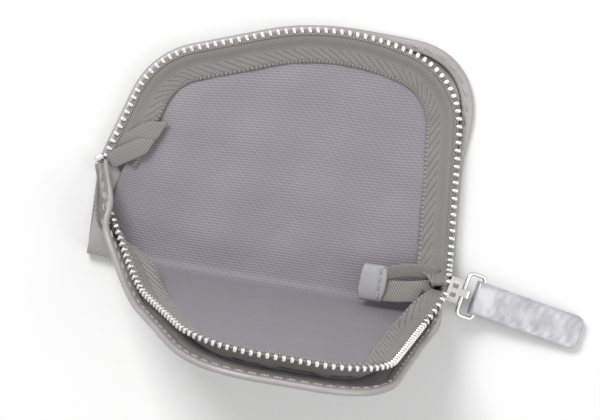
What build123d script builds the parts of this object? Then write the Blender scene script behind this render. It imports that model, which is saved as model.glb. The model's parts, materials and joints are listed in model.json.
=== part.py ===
"""Small zip purse lying open: back flap flat, front flap raised about the bottom fold.

X runs along the fold, Y from the fold towards the top of the back flap, Z up. The origin is on
the outer face of the back flap, on the fold line, halfway along it. All sizes are millimetres.
"""
from math import asin, cos, degrees, radians, sin
import os

from build123d import *

os.makedirs("parts", exist_ok=True)

# ---- driving sizes -------------------------------------------------------------------------
zip_width = 87.2            # between the two ends of the zip, across the purse
flap_height = 64.5          # from the fold axis to the teeth at the crest of the back flap
front_height = 66.0         # from the fold axis to the teeth at the top of the front flap
right_end_height = 6.0      # where the zip ends above the fold, slider side
left_end_height = 20.5      # where the zip ends above the fold, other side
fold_radius = 5.0           # outside radius of the bottom fold
opening_angle = 108.0       # from the back flap to the front flap
extra_opening = 15.0        # how much further the front flap opens
leather = 1.2               # leather thickness
lining = 0.5                # lining thickness
tape = 0.7                  # zip tape thickness
tape_width = 8.4            # from the teeth to the lining
tape_flat = 4.6             # the part of it that lies on the leather
tape_rise = 1.9             # how far its toothed edge stands off the leather
selvedge_width = 3.4        # ribbed stripe of the tape beside the lining
leather_margin = 1.0        # leather beyond the teeth at the top
corner_radius = 9.0         # leather corner above the slider, squarer than the zip's curve there
side_margin = 1.0           # leather beyond the teeth at the slider side
hinge_gap = 0.3             # between bodies that move past each other
seam_gap = 0.1              # between neighbouring layers of one flap

tooth_pitch = 2.0
tooth_size = (1.15, 2.9, 1.3)        # along the tape, across it, high
cord_size = (0.5, 0.5)               # wide, high
stitch_size = (1.9, 0.5, 0.3)
stitch_pitch = 3.2
turned_edge_width = 2.4
turned_edge_height = 0.6

slider_size = (3.2, 6.5, 8.0)        # thick, wide, long
slider_turn = 10.0                   # turned away from the purse's long axis
slider_travel = 4.0
channel_size = (1.4, 3.4)
crown_size = (2.6, 1.8, 4.0)
crown_hole = (1.8, 2.0)
crown_drop = 0.6
link_wire = 0.5                      # radius
link_reach = 4.7                     # from the bar in the crown to the bar in the puller
link_width = 11.0                    # between the wire centres of its two sides
link_corner = 1.3
link_angle = 25.0                    # below the horizontal
puller_width = 8.6
puller_length = 27.0                 # from the link bar to the far end
puller_layer = 0.9
puller_bore = 0.9                    # radius of the loop round the link
puller_taper = 4.0
puller_shift = 0.3

cap_size = (6.4, 8.4, 2.1)
cap_right = 30.4
tail_size = (12.0, 3.4, 0.6)

# ---- values worked out from them -----------------------------------------------------------
half = zip_width / 2
below = -12.0                                   # outlines run past the fold and are trimmed there
crest_x = 0.1 * zip_width
lining_inner = leather + lining                 # distance from the outer face
layer_top = leather + tape
rise_top = leather + tape_rise
core_outer = fold_radius - lining_inner - hinge_gap
core_inner = core_outer - lining

back_face = Plane.XY
lean = radians(opening_angle)
front_outward = Vector(0, -sin(lean), cos(lean))
fold_axis = Vector(0, 0, fold_radius)
front_face = Plane(
    origin=fold_axis + front_outward * fold_radius, x_dir=(1, 0, 0), z_dir=front_outward
)
INTO_BACK = 1
INTO_FRONT = -1

back_zip_points = [
    (half, right_end_height),
    (half - 0.4, flap_height - 6),
    (crest_x, flap_height + 2),
    (5.5 - half, flap_height - 14),
    (-half - 0.8, left_end_height),
]
back_radii = [20, 60, 20]
front_zip_points = [
    (half, right_end_height),
    (0.73 * half, front_height + 1),
    (-0.35 * half, front_height),
    (-0.86 * half, 0.6 * left_end_height),
]
front_radii = [18, 24]


def closed_outline(points, radii, widen=0.0):
    """Flap outline through the zip line, closed below the fold, grown or shrunk by an amount."""
    first_x, last_x = points[0][0], points[-1][0]
    ring = [(first_x, below)] + points + [(last_x, below)]
    with BuildSketch() as flat:
        with BuildLine():
            FilletPolyline(*ring, radius=[2, 30] + radii + [12, 2], close=True)
        make_face()
        if widen:
            offset(amount=widen, mode=Mode.REPLACE)
        with Locations((0, below)):
            Rectangle(4 * zip_width, -2 * below, mode=Mode.SUBTRACT)
    return flat.sketch


def trimmed_right(outline, limit):
    """The outline with nothing past a given X."""
    with BuildSketch() as flat:
        add(outline)
        with Locations((limit + zip_width, 0)):
            Rectangle(2 * zip_width, 6 * flap_height, mode=Mode.SUBTRACT)
    return flat.sketch


def rim_band(points, radii, outer, inner, right_limit):
    """A strip that follows the zip from end to end, between two distances from the teeth."""
    left_x, left_y = points[-1]
    right_x, right_y = points[0]
    reach = zip_width
    with BuildSketch() as flat:
        add(trimmed_right(closed_outline(points, radii, outer), right_limit))
        add(closed_outline(points, radii, inner), mode=Mode.SUBTRACT)
        with BuildLine():
            Polyline(
                (left_x - reach, left_y),
                (left_x + tape_width + 1, left_y),
                (right_x - tape_width - 1, right_y),
                (right_x + reach, right_y),
                (right_x + reach, 3 * reach),
                (left_x - reach, 3 * reach),
                close=True,
            )
        make_face(mode=Mode.INTERSECT)
    return flat.sketch


def stations(points, radii, aside, pitch, face, lift, limit):
    """Evenly spaced places along the zip line, moved outwards and lifted off the outer face."""
    with BuildLine() as flat:
        FilletPolyline(*points, radius=radii)
    line = flat.wires()[0]
    count = int(line.length / pitch)
    places = []
    for index in range(count):
        share = (index + 0.5) * pitch / line.length
        tangent = line.tangent_at(share)
        outwards = Vector(tangent.Y, -tangent.X, 0)
        spot = line.position_at(share) + outwards * aside + Vector(0, 0, lift)
        flat_place = Plane(origin=spot, x_dir=tangent, z_dir=(0, 0, 1))
        if spot.X < limit - stitch_size[1]:
            places.append(face.location * flat_place.location)
    return places


right_edge = half + side_margin
back_panel_outline = trimmed_right(
    closed_outline(back_zip_points, [corner_radius] + back_radii[1:], leather_margin), right_edge
)
front_panel_outline = trimmed_right(
    closed_outline(front_zip_points, [corner_radius] + front_radii[1:], leather_margin), right_edge
)

# ---- the two flaps: panel, turned edge, lining, tape, selvedge, cord, teeth, stitching -------
# Each layer lies at its own distance from the outer face; "inward" says which way that is.


def layer(outline, face, inward, low, thick):
    """One flat layer of a flap, its underside at a given distance from the outer face."""
    with BuildPart() as sheet:
        with BuildSketch(face.offset(inward * low)):
            add(outline)
        extrude(amount=inward * thick)
    return sheet.part


def blocks(places, size):
    """Equal small blocks, one at each place."""
    with BuildPart() as row:
        with Locations(*places):
            Box(*size)
    return row.part


def make_flap(name, face, inward, points, radii, panel_outline, limit):
    """Write the pieces of one flap."""
    tooth_length, tooth_across, tooth_high = tooth_size
    cord_wide, cord_high = cord_size
    selvedge_outer = -tape_width + selvedge_width
    turned_inner = leather_margin - turned_edge_width
    pieces = {
        "panel": layer(panel_outline, face, inward, 0, leather),
        "turned_edge": layer(
            rim_band(points, radii, leather_margin, turned_inner, limit),
            face, inward, leather, turned_edge_height,
        ),
        "lining": layer(
            closed_outline(points, radii, -tape_width - seam_gap),
            face, inward, leather, lining,
        ),
        "zip_tape": layer(
            rim_band(points, radii, tape_flat - tape_width, -tape_width, limit),
            face, inward, leather, tape,
        ),
        "tape_rise": layer(
            rim_band(points, radii, -seam_gap, tape_flat - tape_width + seam_gap, limit),
            face, inward, leather + turned_edge_height, tape_rise - turned_edge_height,
        ),
        "tape_selvedge": layer(
            rim_band(points, radii, selvedge_outer, -tape_width + seam_gap, limit),
            face, inward, layer_top, lining,
        ),
        "zip_cord": layer(
            rim_band(points, radii, -tooth_across, -tooth_across - cord_wide, limit),
            face, inward, rise_top, cord_high,
        ),
        "zip_teeth": blocks(
            stations(
                points, radii, -tooth_across / 2 + seam_gap, tooth_pitch, face,
                inward * (rise_top + seam_gap + tooth_high / 2), limit,
            ),
            (tooth_length, tooth_across - 2 * seam_gap, tooth_high),
        ),
        "rim_stitching": blocks(
            stations(
                points, radii, leather_margin / 2, stitch_pitch, face,
                inward * (leather + turned_edge_height + stitch_size[2] / 2), limit,
            ),
            stitch_size,
        ),
    }
    for part_name, solid in pieces.items():
        solid.label = f"{name}_{part_name}"
        export_step(solid, f"parts/{solid.label}.step")


make_flap(
    "back", back_face, INTO_BACK, back_zip_points, back_radii, back_panel_outline, right_edge
)
make_flap(
    "front", front_face, INTO_FRONT, front_zip_points, front_radii, front_panel_outline, right_edge
)

# ---- bottom fold and side seams, which stay with the back flap -------------------------------
left_edge = -half - leather_margin
fold_length = right_edge - left_edge
fold_middle = (right_edge + left_edge) / 2
fold_plane = Plane(origin=(fold_middle, 0, fold_radius), x_dir=(0, 1, 0), z_dir=(1, 0, 0))
gap_angle = degrees(hinge_gap / fold_radius)
fold_sweep = 180 - opening_angle - extra_opening - gap_angle


def arc_strip(outer, inner, sweep):
    """Cross-section of a curled strip that starts under the fold axis and turns to the front."""
    with BuildSketch() as flat:
        Circle(outer)
        Circle(inner, mode=Mode.SUBTRACT)
        with BuildLine():
            start = PolarLine((0, 0), 4 * outer, -90)
            end = PolarLine((0, 0), 4 * outer, -90 - sweep)
            RadiusArc(start @ 1, end @ 1, 4 * outer)
        make_face(mode=Mode.INTERSECT)
    return flat.sketch


with BuildPart() as bottom_fold:
    with BuildSketch(fold_plane):
        add(arc_strip(fold_radius, fold_radius - leather, fold_sweep))
    extrude(amount=fold_length / 2, both=True)
bottom_fold.part.label = "bottom_fold"
export_step(bottom_fold.part, "parts/bottom_fold.step")

with BuildPart() as lining_fold:
    with BuildSketch(fold_plane):
        add(arc_strip(core_outer, core_inner, 180 - opening_angle + 4 * gap_angle))
    extrude(amount=fold_length / 2 - tape_width, both=True)
lining_fold.part.label = "lining_fold"
export_step(lining_fold.part, "parts/lining_fold.step")

seam_width = 4.2
left_seam_length = left_end_height - 3
with BuildPart() as left_side_seam:
    with BuildSketch(Plane.XY.offset(leather)):
        with Locations((left_edge + hinge_gap + seam_width / 2, left_seam_length / 2 + 1)):
            RectangleRounded(seam_width, left_seam_length, 1)
    extrude(amount=2 * turned_edge_height)
left_side_seam.part.label = "left_side_seam"
export_step(left_side_seam.part, "parts/left_side_seam.step")

right_seam_size = (1.6, 3.0, 2.8)
with BuildPart(Plane.XY.offset(leather)) as right_side_seam:
    with Locations((right_edge - right_seam_size[0] / 2, right_seam_size[1] / 2 + 0.5)):
        Box(*right_seam_size, align=(Align.CENTER, Align.CENTER, Align.MIN))
    fillet(right_side_seam.edges().filter_by(Axis.X).group_by(Axis.Z)[-1], 0.6)
right_side_seam.part.label = "right_side_seam"
export_step(right_side_seam.part, "parts/right_side_seam.step")

# ---- ends of the zip: stops, folded tape tails and the leather cap ---------------------------
stop_size = (2.0, 3.2, 2.0)
stop_places = [(-half - 0.8, left_end_height - 1.6, 0), (-half - 0.4, left_end_height - 4.2, 0)]
with BuildPart(Plane.XY.offset(leather + 2 * turned_edge_height + seam_gap)) as zip_stops:
    with Locations(*stop_places):
        Box(stop_size[1], stop_size[0], stop_size[2], align=(Align.CENTER, Align.CENTER, Align.MIN))
    fillet(zip_stops.edges().filter_by(Axis.Z), 0.6)
zip_stops.part.label = "zip_stops"
export_step(zip_stops.part, "parts/zip_stops.step")

left_tail_size = (9.0, 4.6)
tail_floor = layer_top + lining + seam_gap
left_tail_places = [
    Plane((-half + 11.5, left_end_height + 11, tail_floor), x_dir=(1, 0.55, 0)),
    Plane((-half + 10.0, left_end_height + 4.5, tail_floor), x_dir=(1, 0.25, 0)),
]
with BuildPart() as left_tape_tails:
    for place in left_tail_places:
        with BuildSketch(place):
            with BuildLine():
                Polyline(
                    (-left_tail_size[0] / 2, -left_tail_size[1] / 2),
                    (left_tail_size[0] / 4, -left_tail_size[1] / 2),
                    (left_tail_size[0] / 2, 0),
                    (left_tail_size[0] / 4, left_tail_size[1] / 2),
                    (-left_tail_size[0] / 2, left_tail_size[1] / 2),
                    close=True,
                )
            make_face()
    extrude(amount=tape)
left_tape_tails.part.label = "left_tape_tails"
export_step(left_tape_tails.part, "parts/left_tape_tails.step")

cap_left = cap_right - cap_size[0]
cap_floor = fold_radius - core_inner + hinge_gap
cap_middle = (cap_left + cap_right) / 2
cap_y = cap_size[1] / 2 - 0.2
with BuildPart(Plane.XY.offset(cap_floor)) as end_cap:
    with Locations((cap_middle, cap_y)):
        Box(*cap_size, align=(Align.CENTER, Align.CENTER, Align.MIN))
    fillet(end_cap.edges().filter_by(Axis.Y).group_by(Axis.X)[0], 0.9)
    with Locations((cap_right - tail_size[0] / 4 + 1, cap_y, cap_size[2] / 2)):
        Box(
            tail_size[0] / 2, cap_size[1] + 1, 2 * tail_size[2] + 0.1,
            align=(Align.CENTER, Align.CENTER, Align.CENTER), mode=Mode.SUBTRACT,
        )
end_cap.part.label = "end_cap"
export_step(end_cap.part, "parts/end_cap.step")

with BuildPart(Plane.XY.offset(cap_floor + cap_size[2])) as cap_stitching:
    with Locations((cap_right - 1.6, cap_y)):
        with GridLocations(0, 1.5, 1, 5):
            Box(0.4, 1.0, 0.2, align=(Align.CENTER, Align.CENTER, Align.MIN))
cap_stitching.part.label = "cap_stitching"
export_step(cap_stitching.part, "parts/cap_stitching.step")

tail_level = cap_floor + cap_size[2] / 2
tail_start = cap_right - 2.5
with BuildPart() as right_tape_tails:
    with Locations((tail_start, cap_y + 2.0, tail_level), (tail_start, cap_y - 2.0, tail_level)):
        Box(*tail_size, align=(Align.MIN, Align.CENTER, Align.CENTER))
right_tape_tails.part.label = "right_tape_tails"
export_step(right_tape_tails.part, "parts/right_tape_tails.step")

# ---- slider, its crown, the wire link and the leather puller ---------------------------------
slider_thick, slider_wide, slider_long = slider_size
slider_centre = Vector(
    right_edge + hinge_gap + slider_thick / 2 + slider_wide / 2 * sin(radians(slider_turn)),
    right_end_height - 2,
    leather + right_seam_size[2] + slider_long / 2,
)
slider_plane = Plane(
    origin=slider_centre,
    x_dir=(cos(radians(slider_turn)), -sin(radians(slider_turn)), 0),
    z_dir=(0, 0, 1),
)
outward_axis = Axis(slider_centre, slider_plane.x_dir)
across_axis = Axis(slider_centre, slider_plane.y_dir)
crown_middle = slider_thick / 2 + crown_size[0] / 2
hole_middle = slider_thick / 2 + crown_hole[0] / 2

with BuildPart(slider_plane) as slider_body:
    Box(*slider_size)
    fillet(slider_body.edges().filter_by(outward_axis), 1.4)
    Box(channel_size[0], channel_size[1], slider_long + 1, mode=Mode.SUBTRACT)
    with Locations((0, 0, slider_long / 4)):
        Box(channel_size[0], 1.2, slider_long / 3)
slider_body.part.label = "slider_body"
export_step(slider_body.part, "parts/slider_body.step")

with BuildPart(slider_plane) as slider_crown:
    with Locations((crown_middle, 0, -crown_drop)):
        Box(*crown_size)
    fillet(slider_crown.edges().filter_by(across_axis).group_by(outward_axis)[-1], 0.8)
    with Locations((hole_middle, 0, -crown_drop)):
        Box(crown_hole[0], crown_size[1] + 1, crown_hole[1], mode=Mode.SUBTRACT)
slider_crown.part.label = "slider_crown"
export_step(slider_crown.part, "parts/slider_crown.step")

link_pivot = slider_plane.from_local_coords(Vector(hole_middle, 0, -crown_drop))
link_lean = radians(link_angle)
link_direction = slider_plane.x_dir * cos(link_lean) - slider_plane.z_dir * sin(link_lean)
link_plane = Plane(
    origin=link_pivot, x_dir=link_direction, z_dir=link_direction.cross(slider_plane.y_dir)
)
bar = link_width / 2
with BuildPart() as pull_link:
    with BuildLine(link_plane) as link_path:
        FilletPolyline(
            (0, 0), (0, bar), (link_reach, bar), (link_reach, -bar), (0, -bar), (0, 0.001),
            radius=link_corner,
        )
    with BuildSketch(Plane(origin=link_path.wires()[0] @ 0, z_dir=link_path.wires()[0] % 0)):
        Circle(link_wire)
    sweep()
pull_link.part.label = "pull_link"
export_step(pull_link.part, "parts/pull_link.step")

puller_pivot = link_plane.from_local_coords(Vector(link_reach, 0, 0))
puller_drop = asin((puller_pivot.Z - puller_layer - hinge_gap) / puller_length)
puller_direction = slider_plane.x_dir * cos(puller_drop) - slider_plane.z_dir * sin(puller_drop)
across = slider_plane.y_dir
puller_plane = Plane(
    origin=puller_pivot + across * puller_shift,
    x_dir=puller_direction,
    z_dir=puller_direction.cross(across),
)
profile_plane = Plane(
    origin=puller_plane.origin, x_dir=puller_direction, z_dir=across * -1
)
loop_radius = puller_bore + puller_layer

with BuildPart() as puller_loop:
    with BuildSketch(profile_plane):
        Circle(loop_radius)
        with Locations((puller_taper - 0.05, 0)):
            Rectangle(0.1, 2 * puller_layer)
        make_hull()
        Circle(puller_bore, mode=Mode.SUBTRACT)
    extrude(amount=puller_width / 2, both=True)
puller_loop.part.label = "puller_loop"
export_step(puller_loop.part, "parts/puller_loop.step")

for side_name, side in (("upper", 1), ("lower", -1)):
    with BuildPart() as puller_strip:
        with BuildSketch(puller_plane):
            with Locations(((puller_length + puller_taper) / 2, 0)):
                Rectangle(puller_length - puller_taper, puller_width)
        extrude(amount=side * puller_layer)
        upright = Axis(puller_pivot, puller_plane.z_dir)
        lengthwise = Axis(puller_pivot, puller_direction)
        fillet(puller_strip.edges().filter_by(upright).group_by(lengthwise)[-1], 2.2)
    puller_strip.part.label = f"puller_{side_name}_leather"
    export_step(puller_strip.part, f"parts/{puller_strip.part.label}.step")
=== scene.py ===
import json
import math
import bpy
import numpy as np
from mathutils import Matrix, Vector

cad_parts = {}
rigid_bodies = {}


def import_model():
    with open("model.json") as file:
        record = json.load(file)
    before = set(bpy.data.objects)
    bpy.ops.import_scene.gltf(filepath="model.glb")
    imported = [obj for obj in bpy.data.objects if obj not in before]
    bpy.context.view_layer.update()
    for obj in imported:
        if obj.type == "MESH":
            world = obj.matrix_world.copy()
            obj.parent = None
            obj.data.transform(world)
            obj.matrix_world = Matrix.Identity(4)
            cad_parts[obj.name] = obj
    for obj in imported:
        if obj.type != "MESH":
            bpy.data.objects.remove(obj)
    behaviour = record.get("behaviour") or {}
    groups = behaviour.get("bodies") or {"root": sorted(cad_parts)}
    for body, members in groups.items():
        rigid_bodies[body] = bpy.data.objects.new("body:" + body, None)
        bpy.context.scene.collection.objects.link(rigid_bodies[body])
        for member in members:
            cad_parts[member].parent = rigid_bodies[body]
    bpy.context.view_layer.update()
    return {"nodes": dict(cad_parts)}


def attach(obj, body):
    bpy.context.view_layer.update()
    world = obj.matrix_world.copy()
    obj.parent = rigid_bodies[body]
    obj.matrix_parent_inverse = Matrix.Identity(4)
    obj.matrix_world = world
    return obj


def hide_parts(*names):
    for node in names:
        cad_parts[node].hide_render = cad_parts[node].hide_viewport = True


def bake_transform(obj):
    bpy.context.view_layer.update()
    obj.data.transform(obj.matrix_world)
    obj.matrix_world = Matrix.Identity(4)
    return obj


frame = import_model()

# A small silver leather zip purse lies on its back flap with the front flap raised. Lengths are
# millimetres in the part's own frame: X along the bottom fold, Y up the back flap, Z up. Meshes are
# scaled to metres as they are made.
MM = 0.001


# ---- sizes that are the CAD's own ----------------------------------------------------------------
HALF = 43.6                     # half the distance between the zip's two ends
FOLD_R = 5.0                    # outside radius of the bottom fold
OPENING = math.radians(108)     # from the back flap to the front flap
LEATHER = 1.2
TAPE_WIDTH = 8.4
PITCH = 2.0                     # from tooth to tooth
STITCH_PITCH = 3.2
TURN = math.radians(10)         # the slider's and puller's turn towards -Y
PULLER_LENGTH, PULLER_WIDTH = 27.0, 8.6

# ---- sizes of the drawn pieces, where they are not the CAD's -------------------------------------
LINING = 0.4
LINING_LIFT = 0.08              # gap between leather and lining
TAPE = 0.45
TOOTH_LEVEL = 3.9               # teeth above the leather's outer face
MOUTH_DROP, LEFT_DROP = 1.2, 1.8    # how much closer to it they lie at the zip's two ends
STAND_OFF = 2.6                 # how much further the front teeth stand off at the flap's top
TOOTH = (1.6, 1.05, 1.5)        # into the flap, along the rim, through the tape
CORD_RADII = (0.35, 0.32)
CORD_AT = (1.35, 4.2)           # depth into the flap and level
INNER_STITCH = (2.3, 0.55, 0.5)     # along the rim, into the flap, through the leather
OUTER_STITCH = (2.3, 0.55, 0.3)
FIRST_STITCH = 9.0              # from the slider, along the rim
EDGE_RADIUS = 0.85              # of the leather's turned edge
RIB_FAN = 0.00279               # per millimetre of X, how the lining's ribs close up towards -X
PULLER_BEHIND = 1.75            # how far the puller reaches behind its hinge
PULLER_ROUND = 2.4              # length over which its far corners round off
PULLER_END = 1.2                # height of its far end
FRONT_UP = np.array([0.0, math.cos(OPENING), math.sin(OPENING)])
FRONT_OUT = np.array([0.0, -math.sin(OPENING), math.cos(OPENING)])
AXIS = np.array([0.0, 0.0, FOLD_R])


# ---- curves --------------------------------------------------------------------------------------
def unit(vectors):
    """Each row divided by its length."""
    return vectors / np.maximum(np.linalg.norm(vectors, axis=-1, keepdims=True), 1e-9)


def even(points, count):
    """The same polyline read again at evenly spaced lengths."""
    steps = np.linalg.norm(np.diff(points, axis=0), axis=1)
    run = np.r_[0.0, np.cumsum(steps)]
    at = np.linspace(0, run[-1], count)
    return np.stack([np.interp(at, run, points[:, k]) for k in range(points.shape[1])], axis=1)


def rounded(points, radii):
    """A flat polyline whose inner corners are arcs: each arc starts radius / tan(half the corner's
    angle) before its corner and is swept about the centre on the corner's bisector."""
    points = np.array(points, float)
    pieces = [points[:1]]
    for k, radius in enumerate(radii, start=1):
        back, ahead = unit(points[k - 1] - points[k]), unit(points[k + 1] - points[k])
        half_angle = math.acos(float(np.clip(back @ ahead, -1, 1))) / 2
        reach = radius / math.tan(half_angle)
        start, end = points[k] + back * reach, points[k] + ahead * reach
        centre = points[k] + unit(back + ahead) * radius / math.sin(half_angle)
        share = np.linspace(0, 1, 24)[:, None]
        turned = unit((start - centre) * (1 - share) + (end - centre) * share)
        pieces.append(centre + turned * radius)
    pieces.append(points[-1:])
    return np.concatenate(pieces)


def bezier(a, b, c, d, count=40):
    """A cubic curve from a to d that leaves towards b and arrives from c."""
    t = np.linspace(0, 1, count)[:, None]
    a, b, c, d = (np.array(p, float) for p in (a, b, c, d))
    return a * (1 - t) ** 3 + 3 * b * t * (1 - t) ** 2 + 3 * c * t ** 2 * (1 - t) + d * t ** 3


def tangents(points):
    """Unit directions along a polyline."""
    return unit(np.gradient(points, axis=0))


def smooth(points, rounds):
    """Each inner point moved to the mean of its neighbours and itself, several times."""
    points = points.copy()
    for _ in range(rounds):
        points[1:-1] = (points[:-2] + 2 * points[1:-1] + points[2:]) / 4
    return points


def ease(t):
    """From 0 to 1 with level ends."""
    t = np.clip(t, 0, 1)
    return t * t * (3 - 2 * t)


# ---- the two rims --------------------------------------------------------------------------------
STATIONS = 420
BACK_FLAT = [(45.2, 14), (41.0, 57.0), (8.7, 66.3), (-36.5, 49.5), (-43.6, 25)]
FRONT_FLAT = [(41.0, 17), (32.4, 64.5), (-12.5, 64), (-28.0, 29)]
MOUTH = np.array([46.0, 4.2, 11.4])          # where both rows of teeth enter the slider
LEFT_END = np.array([-44.6, 20.5, 2.7])      # where the zip stops at the other end


def on_back(flat, level):
    """Flat pattern points laid on the back flap at a height over its outer face."""
    return np.c_[flat, np.full(len(flat), level)]


def on_front(flat, level):
    """Flat pattern points laid on the raised flap, each a distance inside its outer face."""
    across = (FOLD_R - level)[:, None] * FRONT_OUT
    return AXIS + across + flat[:, :1] * [1, 0, 0] + flat[:, 1:] * FRONT_UP


def rim(middle, mouth, out_of_mouth, left, into_left, run_on):
    """A whole row from the slider to the far stop: a curve out of the slider, the middle stretch
    and a curve to the stop that sets off along the middle's end by run_on, read at even lengths."""
    first, last = tangents(middle)[0], tangents(middle)[-1]
    start = bezier(mouth, mouth + out_of_mouth, middle[0] - first * 5, middle[0])
    end = bezier(middle[-1], middle[-1] + last * run_on, left + into_left, left)
    whole = np.concatenate([start[:-1], middle, end[1:]])
    return smooth(even(whole, STATIONS), 12)


back_middle = on_back(rounded(BACK_FLAT, [20, 60, 20]), TOOTH_LEVEL)
front_flat = rounded(FRONT_FLAT, [18, 24])
front_middle = on_front(front_flat, TOOTH_LEVEL + STAND_OFF * (front_flat[:, 1] / 64) ** 2)
back_rim = rim(back_middle, MOUTH + [0, 0.7, 0], np.array([-0.6, 1.5, 3.0]),
               LEFT_END + [0, 0, -0.7], np.array([0.4, 2, 0.6]), 1)
front_rim = rim(front_middle, MOUTH + [0, -0.7, 0], np.array([-0.4, -1.5, 4.0]),
                LEFT_END + [0, 0, 0.7], np.array([2.4, -7.5, 4.5]), 12)


# ---- which way each rim faces --------------------------------------------------------------------
# U runs from the slider to the far stop. AT_MOUTH and AT_LEFT are 1 at those ends and fade to 0.
U = np.linspace(0, 1, STATIONS)
AT_MOUTH = ease(1 - U / 0.06)[:, None]
AT_LEFT = ease((U - 0.80) / 0.2)[:, None]
# The fold's outside radius, less towards both of its ends, and where along X each station bends.
RADIUS = FOLD_R - 1.4 * ease(1 - U / 0.12) - 2.9 * ease((U - 0.72) / 0.28)
FOLD_X = (HALF + 1) * (1 - 2 * U)


def frames(row, inside, at_mouth, turn):
    """Along a rim: the direction into the flap and the direction in from its outer face."""
    along = tangents(row)
    guide = unit(inside * (1 - AT_MOUTH) + at_mouth(along) * AT_MOUTH)
    face = unit(guide - np.sum(guide * along, axis=1, keepdims=True) * along)
    face = unit(smooth(face, 6))
    inward = unit(turn * np.cross(face, along))
    return inward, face


EAST = np.array([1.0, 0.0, 0.0])
back_in, back_face = frames(back_rim, np.tile([0.0, 0.0, 1.0], (STATIONS, 1)),
                            lambda t: np.cross(EAST, t), 1)
front_in, front_face = frames(front_rim, unit(-FRONT_OUT * (1 - AT_LEFT) + [0, 0, -1] * AT_LEFT),
                              lambda t: np.cross(t, EAST), -1)
back_level = TOOTH_LEVEL - MOUTH_DROP * AT_MOUTH[:, 0] - LEFT_DROP * AT_LEFT[:, 0]
front_level = back_level + STAND_OFF * np.clip(front_rim[:, 2] / 62, 0, 1) ** 2


def ring(row, inward, face, depth, level):
    """A line beside a rim: depth into the flap and level in from its outer face. Levels over 2 mm
    are scaled by how far the teeth stand off there."""
    tooth = back_level if row is back_rim else front_level
    depth, level = np.broadcast_to(depth, U.shape), np.broadcast_to(level, U.shape)
    share = ease((level - 2.0) / 1.2)
    low = level * (1 + share * (tooth / TOOTH_LEVEL - 1))
    return row + depth[:, None] * inward + (low - tooth)[:, None] * face


def section(start, end, start_face, end_face, offset, counts=(34, 16, 34)):
    """Curves from back to front at each station: straight to the fold, round it on a circle of the
    fold's radius less offset, then straight up. The straight parts touch the circle where the angle
    at its centre, from their end, is the arc cosine of radius over distance."""
    a, b = start + offset * start_face, end + offset * end_face
    radius, centre = RADIUS - offset, np.c_[np.zeros(STATIONS), RADIUS]
    angles = []
    for point, sign in ((a, -1), (b, 1)):
        away = point[:, 1:] - centre
        reach = np.linalg.norm(away, axis=1)
        angles.append(np.arctan2(away[:, 1], away[:, 0])
                      + sign * np.arccos(np.clip(radius / reach, -1, 1)))
    first, last = angles[0], angles[1] - 2 * math.pi
    share = np.linspace(0, 1, counts[1])
    angle = first[:, None] + (last - first)[:, None] * share
    bend = np.stack([np.repeat(FOLD_X[:, None], counts[1], 1),
                     centre[:, :1] + radius[:, None] * np.cos(angle),
                     centre[:, 1:] + radius[:, None] * np.sin(angle)], axis=2)
    go = np.linspace(0, 1, counts[0], endpoint=False)[None, :, None]
    rise = np.linspace(0, 1, counts[2] + 1)[None, 1:, None]
    return np.concatenate([a[:, None] * (1 - go) + bend[:, :1] * go, bend,
                           bend[:, -1:] * (1 - rise) + b[:, None] * rise], axis=1)


# ---- meshes --------------------------------------------------------------------------------------
def mesh_piece(name, points, quads, pattern=None):
    """An object from millimetre points and quads, its faces turned outwards by the sign of the
    volume they enclose, with an optional vector per point for a pattern, in millimetres."""
    a, b, c, d = (points[quads[:, k]] for k in range(4))
    volume = np.sum(a * np.cross(b, c)) + np.sum(a * np.cross(c, d))
    if volume < 0:
        quads = quads[:, ::-1]
    mesh = bpy.data.meshes.new(name)
    mesh.vertices.add(len(points))
    mesh.vertices.foreach_set("co", (points * MM).astype(np.float32).ravel())
    mesh.loops.add(quads.size)
    mesh.loops.foreach_set("vertex_index", quads.astype(np.int32).ravel())
    mesh.polygons.add(len(quads))
    mesh.polygons.foreach_set("loop_start", np.arange(0, quads.size, 4, dtype=np.int32))
    mesh.polygons.foreach_set("use_smooth", np.ones(len(quads), dtype=bool))
    mesh.update(calc_edges=True)
    mesh.validate()
    if pattern is not None:
        flat = mesh.attributes.new("pattern", "FLOAT_VECTOR", "POINT")
        flat.data.foreach_set("vector", pattern.astype(np.float32).ravel())
    piece = bpy.data.objects.new(name, mesh)
    bpy.context.collection.objects.link(piece)
    return piece


def tube_quads(rows, loop):
    """Quads of a strip of closed loops. Each open end is closed by quads across the loop, from a
    point to the one the same distance back from the loop's end."""
    k, j = np.meshgrid(np.arange(rows - 1), np.arange(loop), indexing="ij")
    a, b = k * loop + j, k * loop + (j + 1) % loop
    c, d = (k + 1) * loop + (j + 1) % loop, (k + 1) * loop + j
    sides = np.stack([a, b, c, d], axis=-1).reshape(-1, 4)
    i = np.arange(loop // 2 - 1)
    cap = np.stack([i, loop - 1 - i, loop - 2 - i, i + 1], axis=-1)
    return np.concatenate([sides, cap, cap[:, ::-1] + (rows - 1) * loop])


def solid(name, loops, pattern=None):
    """One closed piece from an array of loops, (rows, points, 3)."""
    rows, loop, _ = loops.shape
    flat = None if pattern is None else pattern.reshape(-1, 3)
    return mesh_piece(name, loops.reshape(-1, 3), tube_quads(rows, loop), flat)


def copies(name, template, origins, axes):
    """The same small solid many times: its own coordinates turned by each set of axes, given
    as rows, and moved to each origin."""
    rows, loop, _ = template.shape
    local = template.reshape(-1, 3)
    points = origins[:, None] + np.einsum("pk,nkj->npj", local, axes)
    quads = tube_quads(rows, loop)
    every = quads[None] + (np.arange(len(origins)) * len(local))[:, None, None]
    return mesh_piece(name, points.reshape(-1, 3), every.reshape(-1, 4))


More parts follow.
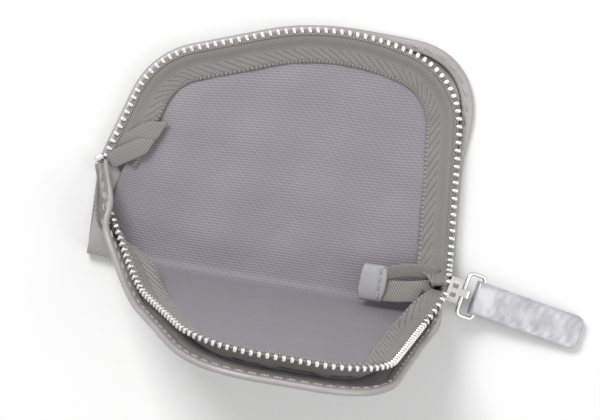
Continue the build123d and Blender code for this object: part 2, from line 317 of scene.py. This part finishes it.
def pill(length, width, height, power=0.6, rows=8, loop=10):
    """A rounded bar along its first axis: each ring is a superellipse, and the rings shrink
    towards both ends as the cosine of the position raised to the same power."""
    t = np.linspace(-1, 1, rows) * math.pi / 2 * 0.98
    ring_angle = np.linspace(0, 2 * math.pi, loop, endpoint=False)
    grow = np.cos(t) ** power
    across = np.sign(np.cos(ring_angle)) * np.abs(np.cos(ring_angle)) ** power
    up = np.sign(np.sin(ring_angle)) * np.abs(np.sin(ring_angle)) ** power
    long = np.sign(np.sin(t)) * np.abs(np.sin(t)) ** power
    return np.stack([np.repeat(long[:, None], loop, 1) * length / 2,
                     grow[:, None] * across * width / 2, grow[:, None] * up * height / 2], axis=2)


# ---- leather and lining --------------------------------------------------------------------------
made = []
# Leather past the teeth: most at the corner above the slider, none at the slider itself.
from_corner = np.linalg.norm(back_rim[:, :2] - [36, 55], axis=1)
margin = 0.1 - 2.3 * AT_MOUTH[:, 0] + 3.9 * np.exp(-(from_corner / 14) ** 2)
front_margin = 0.9 - 3.1 * AT_MOUTH[:, 0]
back_edge = ring(back_rim, back_in, back_face, -margin, 0)
front_edge = ring(front_rim, front_in, front_face, -front_margin, 0)
outer = section(back_edge, front_edge, back_face, front_face, 0)
inner = section(back_edge, front_edge, back_face, front_face, LEATHER)


def turned(edge, inward, face, side):
    """The folded-over edge: a half circle from the outer face to the inside of the turned strip,
    then back along the strip to the leather, in ring order for one side."""
    angle = np.linspace(-math.pi / 2, math.pi / 2, 9)
    lines = [edge + (-EDGE_RADIUS * math.cos(a)) * inward
             + (EDGE_RADIUS + EDGE_RADIUS * math.sin(a)) * face for a in angle]
    lines += [edge + 2.0 * inward + 1.68 * face, edge + 2.5 * inward + 1.3 * face]
    return np.stack(lines if side > 0 else lines[::-1], axis=1)


shell = np.concatenate([outer, turned(front_edge, front_in, front_face, 1), inner[:, ::-1][:, 1:-1],
                        turned(back_edge, back_in, back_face, -1)], axis=1)
leather_shell = solid("leather_shell", shell)

LINING_COUNTS = (48, 14, 48)    # points on the back flap, round the fold and on the front flap
# The share of its width that the front tape and lining have room for, less at the far stop.
front_room = np.clip((front_rim[:, 0] + 45.5) / 11, 0.1, 1)
lining_back = ring(back_rim, back_in, back_face, 5.2, 0)
lining_front = ring(front_rim, front_in, front_face, 6.8 * front_room, 0)
under = section(lining_back, lining_front, back_face, front_face, LEATHER + LINING_LIFT, LINING_COUNTS)
over = section(lining_back, lining_front, back_face, front_face, LEATHER + LINING_LIFT + LINING,
               LINING_COUNTS)
away = unit(over - under)
run = np.linalg.norm(np.diff(under, axis=1), axis=2)
length = np.concatenate([np.zeros((STATIONS, 1)), np.cumsum(run, axis=1)], axis=1)
middle = length[:, LINING_COUNTS[0] + LINING_COUNTS[1] // 2][:, None]
up_flap = length - middle
hold = ease(np.minimum(length, length[:, -1:] - length) / 9) * ease(np.abs(up_flap) / 9)
wide = under[..., 0]
puff = (0.35 + 0.25 * np.sin(wide * 0.31 + up_flap * 0.09) + 0.2 * np.sin(wide * 0.13 - up_flap * 0.23 + 1)
        + 0.15 * np.sin(up_flap * 0.47 + 0.6 * np.sin(wide * 0.11)))
lift = (np.maximum(puff, 0) * 0.6 * hold)[..., None] * away
lining_loops = np.concatenate([under + lift, (over + lift)[:, ::-1]], axis=1)
rib = np.abs(up_flap) / (1 + RIB_FAN * wide)
flat = np.stack([wide, rib, np.zeros_like(rib)], axis=2)
lining = solid("sewn_lining", lining_loops, np.concatenate([flat, flat[:, ::-1]], axis=1))


# ---- zip tape, cord, teeth and stitches for one flap ---------------------------------------------
# Across the tape's inner face, from the teeth: depth into the flap and level.
TAPE_TOP = [(0.4, 4.1), (1.4, 4.15), (2.5, 3.9), (3.4, 3.3), (4.3, 2.6), (5.4, 2.2), (7.0, 2.1),
            (TAPE_WIDTH, 2.1)]


def dress(flap, row, inward, face, edge, turn):
    """The zip tape with its woven edge stripe, the cord, the teeth and the leather's stitches."""
    steps = np.linalg.norm(np.diff(row, axis=0), axis=1)
    run = np.r_[0, np.cumsum(steps)]
    ripple = 0.15 * np.sin(run * 0.42) + 0.1 * np.sin(run * 0.93 + 1)
    narrow = (1 - 0.45 * AT_MOUTH[:, 0]) * (1 if turn > 0 else front_room)
    top = []
    for depth, level in TAPE_TOP:
        width = depth * (narrow if depth > 2 else 1)
        height = np.full(STATIONS, level) + (ripple * 0.6 + 0.2 if depth > 5 else 0)
        top.append(ring(row, inward, face, width, height))
    bottom = [line - TAPE * face for line in top[::-1]]
    loops = np.stack(top + bottom, axis=1)
    depths = np.array([depth for depth, level in TAPE_TOP + TAPE_TOP[::-1]])
    pattern = np.stack(np.broadcast_arrays(run[:, None], depths[None], 0.0), axis=2)
    tape = solid(f"{flap}_woven_tape", loops, pattern)
    ring_angle = np.linspace(0, 2 * math.pi, 8, endpoint=False)
    lines = [ring(row, inward, face, CORD_AT[0] + CORD_RADII[0] * math.cos(a),
                  np.full(STATIONS, CORD_AT[1] + CORD_RADII[1] * math.sin(a))) for a in ring_angle]
    cord = solid(f"{flap}_tape_cord", np.stack(lines, axis=1))
    at = np.arange(1.0, run[-1] - 0.8, PITCH) + (0 if turn > 0 else PITCH / 2)
    at = at[at < run[-1] - 0.8]

    def read(lines):
        """Lines read at the present places along the rim."""
        return np.stack([np.interp(at, run, lines[:, k]) for k in range(3)], axis=1)

    across, up = unit(read(inward)), unit(read(face))
    axes = np.stack([across, np.cross(up, across), up], axis=1)
    teeth = copies(f"{flap}_teeth_row", pill(*TOOTH, 0.5), read(row) + 0.4 * across + 0.1 * up, axes)
    at = np.arange(FIRST_STITCH, run[-1] - 3, STITCH_PITCH)
    across, up = unit(read(inward)), unit(read(face))
    axes = np.stack([np.cross(across, up), across, up], axis=1)
    stitches = copies(f"{flap}_inner_thread", pill(*INNER_STITCH, 0.8, 8, 8),
                      read(edge) + 0.9 * across + 1.72 * up, axes)
    outside = copies(f"{flap}_outer_thread", pill(*OUTER_STITCH, 0.8, 8, 8),
                     read(edge) + 1.4 * across, axes)
    for piece, nodes, slot_name in ((tape, ["zip_tape", "tape_rise", "tape_selvedge"], "zip_tape"),
                                    (cord, ["zip_cord"], "zip_tape"),
                                    (teeth, ["zip_teeth"], "zip_metal"),
                                    (stitches, ["rim_stitching"], "thread"),
                                    (outside, [], "thread")):
        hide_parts(*[f"{flap}_{n}" for n in nodes])
        made.append((piece, slot_name))


dress("back", back_rim, back_in, back_face, back_edge, 1)
dress("front", front_rim, front_in, front_face, front_edge, -1)
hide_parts("back_panel", "front_panel", "bottom_fold", "back_turned_edge",
            "front_turned_edge", "left_side_seam", "right_side_seam")
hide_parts("back_lining", "front_lining", "lining_fold")
made += [(leather_shell, "silver_leather"), (lining, "lining_twill")]


# ---- ends of the zip -----------------------------------------------------------------------------
def strip(name, line, across, thick, pointed=0.0):
    """A soft strip along a line: each ring is a superellipse as wide as across and as thick as
    given, narrowing nearly to a point over the last share of its length that pointed gives."""
    count = len(line)
    t = np.linspace(0, 1, count)
    shrink = 1 - ease((t - 1 + pointed) / pointed) * 0.85 if pointed else np.ones(count)
    shrink = shrink * np.minimum(1, 0.55 + 8 * np.minimum(t, 1 - t))
    side = unit(across)
    up = unit(np.cross(tangents(line), side))
    half = np.linalg.norm(across, axis=1) / 2 * shrink
    a = np.linspace(0, 2 * math.pi, 20, endpoint=False)
    c, s = (np.sign(f) * np.abs(f) ** 0.6 for f in (np.cos(a), np.sin(a)))
    return solid(name, line[:, None] + (half[:, None] * c)[..., None] * side[:, None]
                 + (thick / 2 * s)[None, :, None] * up[:, None])


def right_tail(name, start, end, bow, width, lean):
    """A zip tape's spare end, from beside the slider to the sewn cap, bowed sideways by a sine."""
    t = np.linspace(0, 1, 24)[:, None]
    line = np.array([start]) * (1 - t) + np.array([end]) * t
    line[:, 1:2] += bow * np.sin(t * math.pi)
    line[:, 2:] += 0.5 * np.sin(t * 7 + lean)
    across = np.array([[0, width, 1.4 * lean]]) + 0 * line
    return strip(name, line, across, 0.6)


tails = [right_tail("right_tail_back", (43.0, 7.4, 7.6), (28.0, 4.6, 7.3), 0.9, 3.5, 1),
         right_tail("right_tail_front", (42.0, 3.2, 8.2), (28.0, 0.9, 7.7), -0.5, 5.4, -0.5)]
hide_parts("right_tape_tails")
t = np.linspace(0, 1, 14)[:, None]
cap_line = np.array([[30.2, 2.6, 7.6]]) * (1 - t) + np.array([[23.6, 2.5, 7.4]]) * t
end_cap = strip("sewn_end_cap", cap_line, np.array([[0.2, 9.2, 0]]) + 0 * cap_line, 2.5)
cap_run = np.linspace(-3.0, 3.0, 4)
cap_stitches = copies("cap_thread", pill(1.7, 0.5, 0.4, 0.8, 8, 8),
                      np.c_[np.full(4, 28.4), 2.6 + cap_run, np.full(4, 9.0)],
                      np.tile(np.array([[0, 1.0, 0], [-1, 0, 0], [0, 0, 1]]), (4, 1, 1)))
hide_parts("end_cap")
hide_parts("cap_stitching")


def left_tail(name, tip, root, z, width):
    """A zip tape's pointed spare end inside the far corner."""
    t = np.linspace(0, 1, 20)[:, None]
    line = np.array([[*root, z]]) * (1 - t) + np.array([[*tip, z + 0.6]]) * t
    line[:, 2:] += 0.7 * np.sin(t * math.pi)
    sideways = np.array([root[1] - tip[1], tip[0] - root[0], 0.0])
    return strip(name, line, sideways / np.linalg.norm(sideways) * width + 0 * line, 0.5, 0.3)


left_tails = [left_tail("left_tail_a", (-30.0, 33.5), (-43.2, 23.5), 3.0, 5.2),
              left_tail("left_tail_b", (-32.4, 28.4), (-43.0, 21.5), 3.7, 4.4)]
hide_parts("left_tape_tails")
stops = copies("stop_beads", pill(2.4, 1.9, 1.9, 0.5), np.array([[-45.4, 21.9, 2.6], [-43.9, 19.2, 3.5]]),
               np.tile(np.array([[0.8, 0.6, 0], [-0.6, 0.8, 0], [0, 0, 1.0]]), (2, 1, 1)))
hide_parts("zip_stops")
made += [(p, "zip_tape") for p in tails + left_tails]
made += [(end_cap, "silver_leather"), (cap_stitches, "thread"), (stops, "zip_metal")]
for piece in tails + [end_cap, cap_stitches]:
    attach(piece, "back_flap")


# ---- puller --------------------------------------------------------------------------------------
out = np.array([math.cos(TURN), -math.sin(TURN), 0.0])
across_puller = np.array([math.sin(TURN), math.cos(TURN), 0.0])
pivot = np.array([53.72, 2.83, 5.41])        # the puller's hinge, rounded
drop = math.asin((pivot[2] - PULLER_END) / PULLER_LENGTH)
along_puller = out * math.cos(drop) + np.array([0, 0, -math.sin(drop)])
over_puller = np.cross(along_puller, across_puller)


def puller():
    """The puller's two layers of leather and their loop round the link, drawn as one slab: a
    superellipse section whose corners round off at the far end, creased on top by crossing waves
    about a tenth of a millimetre deep."""
    t = np.linspace(0, 1, 90)
    x = -PULLER_BEHIND + t * (PULLER_LENGTH + PULLER_BEHIND)
    far = np.clip((x - PULLER_LENGTH + PULLER_ROUND) / PULLER_ROUND, 0, 1)
    half = PULLER_WIDTH / 2 * (0.72 + 0.28 * np.sqrt(np.clip(1 - far ** 2, 0, 1)))
    half[-1] *= 0.97
    thick = 0.95 + 0.85 * ease(1 - (x + PULLER_BEHIND) / 5.5)
    thick[0], thick[1] = 0.5, 1.2
    a = np.linspace(0, 2 * math.pi, 48, endpoint=False)
    c, s = (np.sign(f) * np.abs(f) ** 0.45 for f in (np.cos(a), np.sin(a)))
    y = half[:, None] * c
    crease = 0.25 * (0.16 * np.sin(x[:, None] * 1.3 + y * 0.9) + 0.12 * np.sin(x[:, None] * 2.9 - y * 1.7)
              + 0.1 * np.sin(y * 2.3 + x[:, None] * 0.7)) * ease((x[:, None] - 1) / 4) * (s > 0)
    z = thick[:, None] * s + crease
    return solid("puller_leather", pivot + x[:, None, None] * along_puller + y[..., None] * across_puller
                 + z[..., None] * over_puller)


puller_leather = puller()
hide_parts("puller_loop", "puller_upper_leather", "puller_lower_leather")
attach(puller_leather, "puller")
made.append((puller_leather, "foil_leather"))


# ---- materials -----------------------------------------------------------------------------------
def colour(code):
    """A screen colour such as A9A6A4 as linear light."""
    parts = [int(code[k:k + 2], 16) / 255 for k in (0, 2, 4)]
    return (*[p / 12.92 if p <= 0.04045 else ((p + 0.055) / 1.055) ** 2.4 for p in parts], 1.0)


def node(tree, kind, inputs=None, **settings):
    """One node of any kind, its settings, and its inputs as values or as another node's outlet."""
    made_node = tree.nodes.new(kind)
    for key, value in settings.items():
        setattr(made_node, key, value)
    for key, value in (inputs or {}).items():
        if isinstance(value, bpy.types.NodeSocket):
            tree.links.new(value, made_node.inputs[key])
        else:
            made_node.inputs[key].default_value = value
    return made_node


def material(name, base, roughness, **sockets):
    """A named material and its shader, with plain values set on the shader's own sockets."""
    made_material = bpy.data.materials.new(name)
    made_material.use_nodes = True
    tree = made_material.node_tree
    shader = tree.nodes["Principled BSDF"]
    values = {"Base Color": colour(base), "Roughness": roughness, **sockets}
    for key, value in values.items():
        shader.inputs[key].default_value = value
    return made_material, tree, shader


def mixed(tree, share, low, high):
    """Two screen colours mixed by a share."""
    mix = node(tree, "ShaderNodeMix", {0: share, 6: colour(low), 7: colour(high)}, data_type="RGBA")
    return mix.outputs[2]


def stepped(tree, value, low, high, to_low=0.0, to_high=1.0):
    """A value read between two limits as another range, with soft ends."""
    return node(tree, "ShaderNodeMapRange", {0: value, 1: low, 2: high, 3: to_low, 4: to_high},
                interpolation_type="SMOOTHSTEP").outputs[0]


def maths(tree, operation, *values):
    """One sum on numbers or outlets."""
    return node(tree, "ShaderNodeMath", dict(enumerate(values)), operation=operation).outputs[0]


def bumped(tree, shader, height, depth):
    """The shader's normal from a height, with depth in metres."""
    bump = node(tree, "ShaderNodeBump", {"Height": height, "Distance": depth, "Strength": 1.0})
    tree.links.new(bump.outputs[0], shader.inputs["Normal"])


def place(tree):
    """The object's own coordinates in millimetres."""
    coordinates = node(tree, "ShaderNodeTexCoord").outputs["Object"]
    scaled = node(tree, "ShaderNodeVectorMath", {0: coordinates, 1: (1000, 1000, 1000)}, operation="MULTIPLY")
    return scaled.outputs[0]


def leather(name, low, high, roughness, metallic, grain, depth, crease):
    """Pebbled leather with a thin metallic coat: cells for the grain, drawn coarser than life, and
    slow noise for creases and for the colour's unevenness."""
    made_material, tree, shader = material(name, high, roughness, Metallic=metallic)
    shader.inputs["Specular IOR Level"].default_value = 0.5
    where = place(tree)
    cells = node(tree, "ShaderNodeTexVoronoi", {"Vector": where, "Scale": 1 / grain},
                 feature="SMOOTH_F1").outputs[0]
    slow = node(tree, "ShaderNodeTexNoise", {"Vector": where, "Scale": crease, "Detail": 3.0}).outputs[0]
    height = maths(tree, "ADD", maths(tree, "MULTIPLY", cells, -1.0), maths(tree, "MULTIPLY", slow, 1.5))
    bumped(tree, shader, height, depth)
    tint = mixed(tree, stepped(tree, slow, 0.35, 0.65), low, high)
    tree.links.new(tint, shader.inputs["Base Color"])
    return made_material


def woven(name, low, high, lines, roughness=0.6):
    """Cloth from the pieces' own pattern attribute: lines() gives a height from 0 to 1 out of its
    vector, which is mixed into the colour and raised."""
    made_material, tree, shader = material(name, high, roughness)
    shader.inputs["Sheen Weight"].default_value = 0.25
    shader.inputs["Sheen Roughness"].default_value = 0.4
    where = node(tree, "ShaderNodeAttribute", attribute_name="pattern").outputs["Vector"]
    height, depth = lines(tree, where)
    tree.links.new(mixed(tree, height, low, high), shader.inputs["Base Color"])
    bumped(tree, shader, height, depth)
    return made_material


def parts_of(tree, vector):
    """A vector's three numbers."""
    return node(tree, "ShaderNodeSeparateXYZ", {0: vector}).outputs


def wave(tree, value, pitch):
    """From 0 to 1 and back once in each pitch."""
    sine = maths(tree, "SINE", maths(tree, "MULTIPLY", value, 2 * math.pi / pitch))
    return maths(tree, "MULTIPLY_ADD", sine, 0.5, 0.5)


def lining_lines(tree, where):
    """Fine ribs woven along the purse. Real ribs are about half a millimetre apart and are drawn
    at 0.7 so that they stay visible; slow noise makes them uneven."""
    axis = parts_of(tree, where)
    uneven = node(tree, "ShaderNodeTexNoise", {"Vector": where, "Scale": 0.08, "Detail": 1.0}).outputs[0]
    rib_value = maths(tree, "ADD", axis[1], maths(tree, "MULTIPLY", uneven, 0.8))
    ribs = wave(tree, rib_value, 0.7)
    picks = wave(tree, maths(tree, "ADD", axis[0], axis[1]), 1.7)
    both = maths(tree, "ADD", maths(tree, "MULTIPLY", ribs, 0.75), maths(tree, "MULTIPLY", picks, 0.25))
    return both, 0.00005


def tape_lines(tree, where):
    """Zip tape: a slanting stripe of woven bars, in groups of three, along the half of the tape
    away from the teeth, a beaded edge, and plain twill near the teeth."""
    axis = parts_of(tree, where)
    slant = maths(tree, "ADD", axis[0], maths(tree, "MULTIPLY", axis[1], 1.7))
    bars = wave(tree, slant, 0.85)
    groups = stepped(tree, wave(tree, slant, 2.55), 0.08, 0.35)
    bars = maths(tree, "MULTIPLY", bars, groups)
    twill = maths(tree, "MULTIPLY_ADD", wave(tree, maths(tree, "SUBTRACT", axis[0], axis[1]), 0.7), 0.5, 0.05)
    inside = stepped(tree, axis[1], 4.9, 5.2)
    beads = wave(tree, axis[0], 1.1)
    edge_share = stepped(tree, axis[1], 7.7, 7.9)
    plain = maths(tree, "ADD", maths(tree, "MULTIPLY", bars, inside),
                  maths(tree, "MULTIPLY", twill, maths(tree, "SUBTRACT", 1.0, inside)))
    whole = maths(tree, "ADD", maths(tree, "MULTIPLY", plain, maths(tree, "SUBTRACT", 1.0, edge_share)),
                  maths(tree, "MULTIPLY", beads, edge_share))
    return whole, 0.00012


def plain_twill(name, low, high):
    """Cloth with no pattern attribute: fine crossing waves on the object's own coordinates."""
    made_material, tree, shader = material(name, high, 0.6)
    axis = parts_of(tree, place(tree))
    height = wave(tree, maths(tree, "ADD", axis[0], maths(tree, "ADD", axis[1], axis[2])), 0.8)
    tree.links.new(mixed(tree, height, low, high), shader.inputs["Base Color"])
    bumped(tree, shader, height, 0.0001)
    return made_material


def metal(name, base, roughness):
    """Plated zinc with the fine unevenness of tumbling."""
    made_material, tree, shader = material(name, base, roughness, Metallic=1.0)
    noise = node(tree, "ShaderNodeTexNoise", {"Vector": place(tree), "Scale": 1.5, "Detail": 3.0}).outputs[0]
    uneven = stepped(tree, noise, 0.3, 0.7, roughness - 0.06, roughness + 0.08)
    tree.links.new(uneven, shader.inputs["Roughness"])
    bumped(tree, shader, noise, 0.00002)
    return made_material


body_leather = leather("metallic coated leather", "A29F9D", "AAA7A5", 0.48, 0.25, 0.8, 0.00006, 0.12)
foil = leather("crinkled silver foil leather", "ACACB0", "BFBFC3", 0.36, 0.35, 1.1, 0.00004, 0.25)
lining_cloth = woven("ribbed acetate lining", "7B777E", "948F96", lining_lines, 0.42)
tape_cloth = woven("polyester zip tape", "76726F", "A6A29F", tape_lines, 0.6)
cap_leather = leather("matt coated leather", "9A999D", "A2A1A5", 0.55, 0.1, 0.8, 0.00005, 0.12)
spare_cloth = plain_twill("polyester zip tape ends", "6F6B68", "A09C99")
sewing = plain_twill("polyester thread", "8E8B88", "C4C1BE")
tooth_metal = metal("nickel plated zip teeth", "D8D6D2", 0.32)
case_metal = metal("nickel plated zinc", "D0CFCC", 0.28)
finish_of = {"silver_leather": body_leather, "foil_leather": foil, "lining_twill": lining_cloth,
             "zip_tape": tape_cloth, "thread": sewing, "zip_metal": tooth_metal}


def paint(piece, finish):
    """The piece's only material."""
    piece.data.materials.clear()
    piece.data.materials.append(finish)


# Each piece gets its one material: the spare tape ends and the cords the plain tape cloth, the end
# cap the matt leather, the rest the finish named by its slot. Pieces on no body have their place
# baked into the mesh.
for piece, slot_name in made:
    loose = piece in tails + left_tails or piece.name.endswith("_cord")
    paint(piece, spare_cloth if loose else cap_leather if piece is end_cap else finish_of[slot_name])
    if piece.parent is None:
        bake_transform(piece)
for name in ("slider_body", "slider_crown", "pull_link"):
    paint(frame["nodes"][name], case_metal)


# ---- floor, light and camera ---------------------------------------------------------------------
bpy.ops.mesh.primitive_plane_add(size=3, location=(0, 0, -0.0004))
floor = bpy.context.object
floor.name = "floor"
floor_material, tree, shader = material("pale card", "F4F4F4", 0.9)
paint(floor, floor_material)

world = bpy.data.worlds.new("white room")
bpy.context.scene.world = world
world.use_nodes = True
tree = world.node_tree
tree.nodes.clear()
rays = node(tree, "ShaderNodeLightPath").outputs
mirrored = maths(tree, "MAXIMUM", rays["Is Glossy Ray"], rays["Is Transmission Ray"])
seen = maths(tree, "MAXIMUM", rays["Is Camera Ray"], mirrored)
soft = node(tree, "ShaderNodeBackground", {"Color": (1, 1, 1, 1), "Strength": 0.5})
white = node(tree, "ShaderNodeBackground", {"Color": (1, 1, 1, 1), "Strength": 1.0})
both = node(tree, "ShaderNodeMixShader", {0: seen, 1: soft.outputs[0], 2: white.outputs[0]})
node(tree, "ShaderNodeOutputWorld", {"Surface": both.outputs[0]})


def lamp(name, at, size, power, target=(0.0, 0.02, 0.01)):
    """A soft square lamp turned to the object."""
    data = bpy.data.lights.new(name, "AREA")
    data.size, data.energy = size, power
    light = bpy.data.objects.new(name, data)
    bpy.context.collection.objects.link(light)
    light.location = at
    light.rotation_euler = (Vector(target) - Vector(at)).to_track_quat("-Z", "Y").to_euler()


lamp("key", (-0.35, 0.45, 0.7), 0.35, 5.0)
lamp("fill", (0.6, -0.2, 0.6), 0.6, 2.2)

camera_data = bpy.data.cameras.new("camera")
camera = bpy.data.objects.new("camera", camera_data)
bpy.context.collection.objects.link(camera)
right = Vector((0.986, 0.165, 0)).normalized()
upward = Vector((-0.165, 0.986, 0)).normalized()
DISTANCE = 1.4                  # metres, straight above
FIELD = 0.150                   # metres across the view at the back flap
camera_data.sensor_width = 36
camera_data.lens = camera_data.sensor_width * DISTANCE / FIELD
turned_camera = Matrix((right, upward, (0, 0, 1))).transposed()
camera.matrix_world = Matrix.Translation((0.0061, 0.0173, DISTANCE)) @ turned_camera.to_4x4()
bpy.context.scene.camera = camera
bpy.context.scene.view_settings.view_transform = "Standard"
